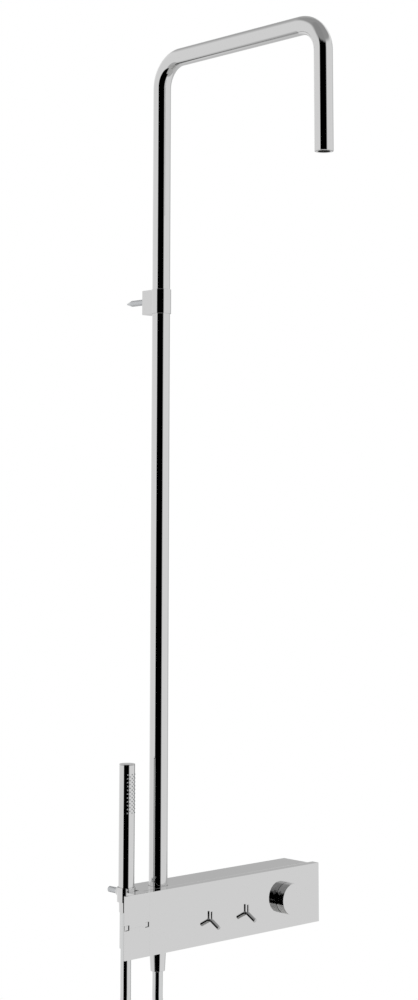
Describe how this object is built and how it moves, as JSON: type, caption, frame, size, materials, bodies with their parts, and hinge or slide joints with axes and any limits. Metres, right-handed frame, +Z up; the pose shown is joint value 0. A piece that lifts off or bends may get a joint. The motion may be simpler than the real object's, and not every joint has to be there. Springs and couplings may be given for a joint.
{
  "type": "shower column",
  "caption": "Wall-mounted thermostatic shower column with an overhead arm, a flat mirror-faced mixer and a stick hand shower on a hose.",
  "frame": {"origin": "on the wall plane, on the column's centre line and at half the mixer's height", "axes": "+Z up along the riser, +Y into the wall, -Y towards the user, +X to the user's right"},
  "size_m": [0.364, 0.3995, 1.5119],
  "materials": {
    "polished_chrome": "mirror-polished chrome plate on brass",
    "brass": "machined brass",
    "steel": "plain stainless steel",
    "rubber": "matt rubber",
    "white_plastic": "moulded acetal",
    "grey_plastic": "moulded acetal",
    "silicone": "soft silicone",
    "hose_cover": "smooth silver hose cover"
  },
  "bodies": {
    "column": {"riser_tube": "polished_chrome", "arm_tube": "polished_chrome", "wall_bracket": "polished_chrome", "front_panel": "polished_chrome", "mixer_casing": "polished_chrome", "hand_shower_holder": "polished_chrome", "holder_bolt_left": "polished_chrome", "holder_bolt_right": "polished_chrome", "hose_nut": "polished_chrome", "head_bush": "polished_chrome", "tube_sleeve": "brass", "mixer_body": "brass", "riser_nut": "brass", "hot_inlet_tail": "brass", "hot_union_nut": "brass", "cold_inlet_tail": "brass", "cold_union_nut": "brass", "flow_headwork_1": "brass", "flow_headwork_2": "brass", "outlet_nipple": "brass", "hanger_bolt": "steel", "bracket_lock_screw": "steel", "back_plate": "steel", "panel_screw_upper_left": "steel", "panel_screw_upper_right": "steel", "panel_screw_lower_left": "steel", "panel_screw_lower_right": "steel", "hot_inlet_filter": "steel", "cold_inlet_filter": "steel", "holder_stud": "steel", "riser_seal": "rubber", "hose_washer": "rubber", "hose_strap": "rubber", "flow_limiter": "white_plastic", "thermostatic_cartridge": "white_plastic", "outlet_check_valve": "white_plastic", "temperature_stop_ring": "grey_plastic", "hose_run_handset": "hose_cover", "hose_run_mixer": "hose_cover", "hose_coil": "hose_cover"},
    "temperature_control": {"temperature_knob": "polished_chrome", "knob_grub_screw": "steel", "temperature_spindle": "brass", "button_spring": "steel"},
    "safety_button": {"safety_button": "polished_chrome"},
    "flow_control_1": {"flow_handle_1": "polished_chrome", "flow_spindle_1": "steel", "handle_grub_screw_1": "steel"},
    "flow_control_2": {"flow_handle_2": "polished_chrome", "flow_spindle_2": "steel", "handle_grub_screw_2": "steel"},
    "hand_shower_nut": {"hand_shower_nut": "polished_chrome", "hand_shower_washer": "rubber"},
    "hand_shower": {"hand_shower_body": "polished_chrome", "hand_shower_cap": "polished_chrome", "nozzle_strip": "silicone", "water_channel": "white_plastic"}
  },
  "joints": [
    {"name": "temperature_turn", "type": "hinge", "parent": "column", "child": "temperature_control", "pos_m": [0.214, -0.06, 0], "axis": [0, -1, 0], "range_deg": [-230, 50]},
    {"name": "safety_button_press", "type": "slide", "parent": "temperature_control", "child": "safety_button", "axis": [0.8829, 0, -0.4695], "range_m": [0, 0.002], "stiffness_N_per_m": 600},
    {"name": "flow_1_turn", "type": "hinge", "parent": "column", "child": "flow_control_1", "pos_m": [0.0675, -0.06, -0.0103], "axis": [0, -1, 0], "range_deg": [0, 90]},
    {"name": "flow_2_turn", "type": "hinge", "parent": "column", "child": "flow_control_2", "pos_m": [0.1355, -0.06, -0.0103], "axis": [0, -1, 0], "range_deg": [0, 90]},
    {"name": "hand_shower_lift", "type": "slide", "parent": "column", "child": "hand_shower_nut", "axis": [0, 0, 1], "range_m": [0, 0.06]},
    {"name": "hand_shower_swivel", "type": "hinge", "parent": "hand_shower_nut", "child": "hand_shower", "pos_m": [-0.056, -0.03, 0.028], "axis": [0, 0, 1], "continuous": true}
  ]
}
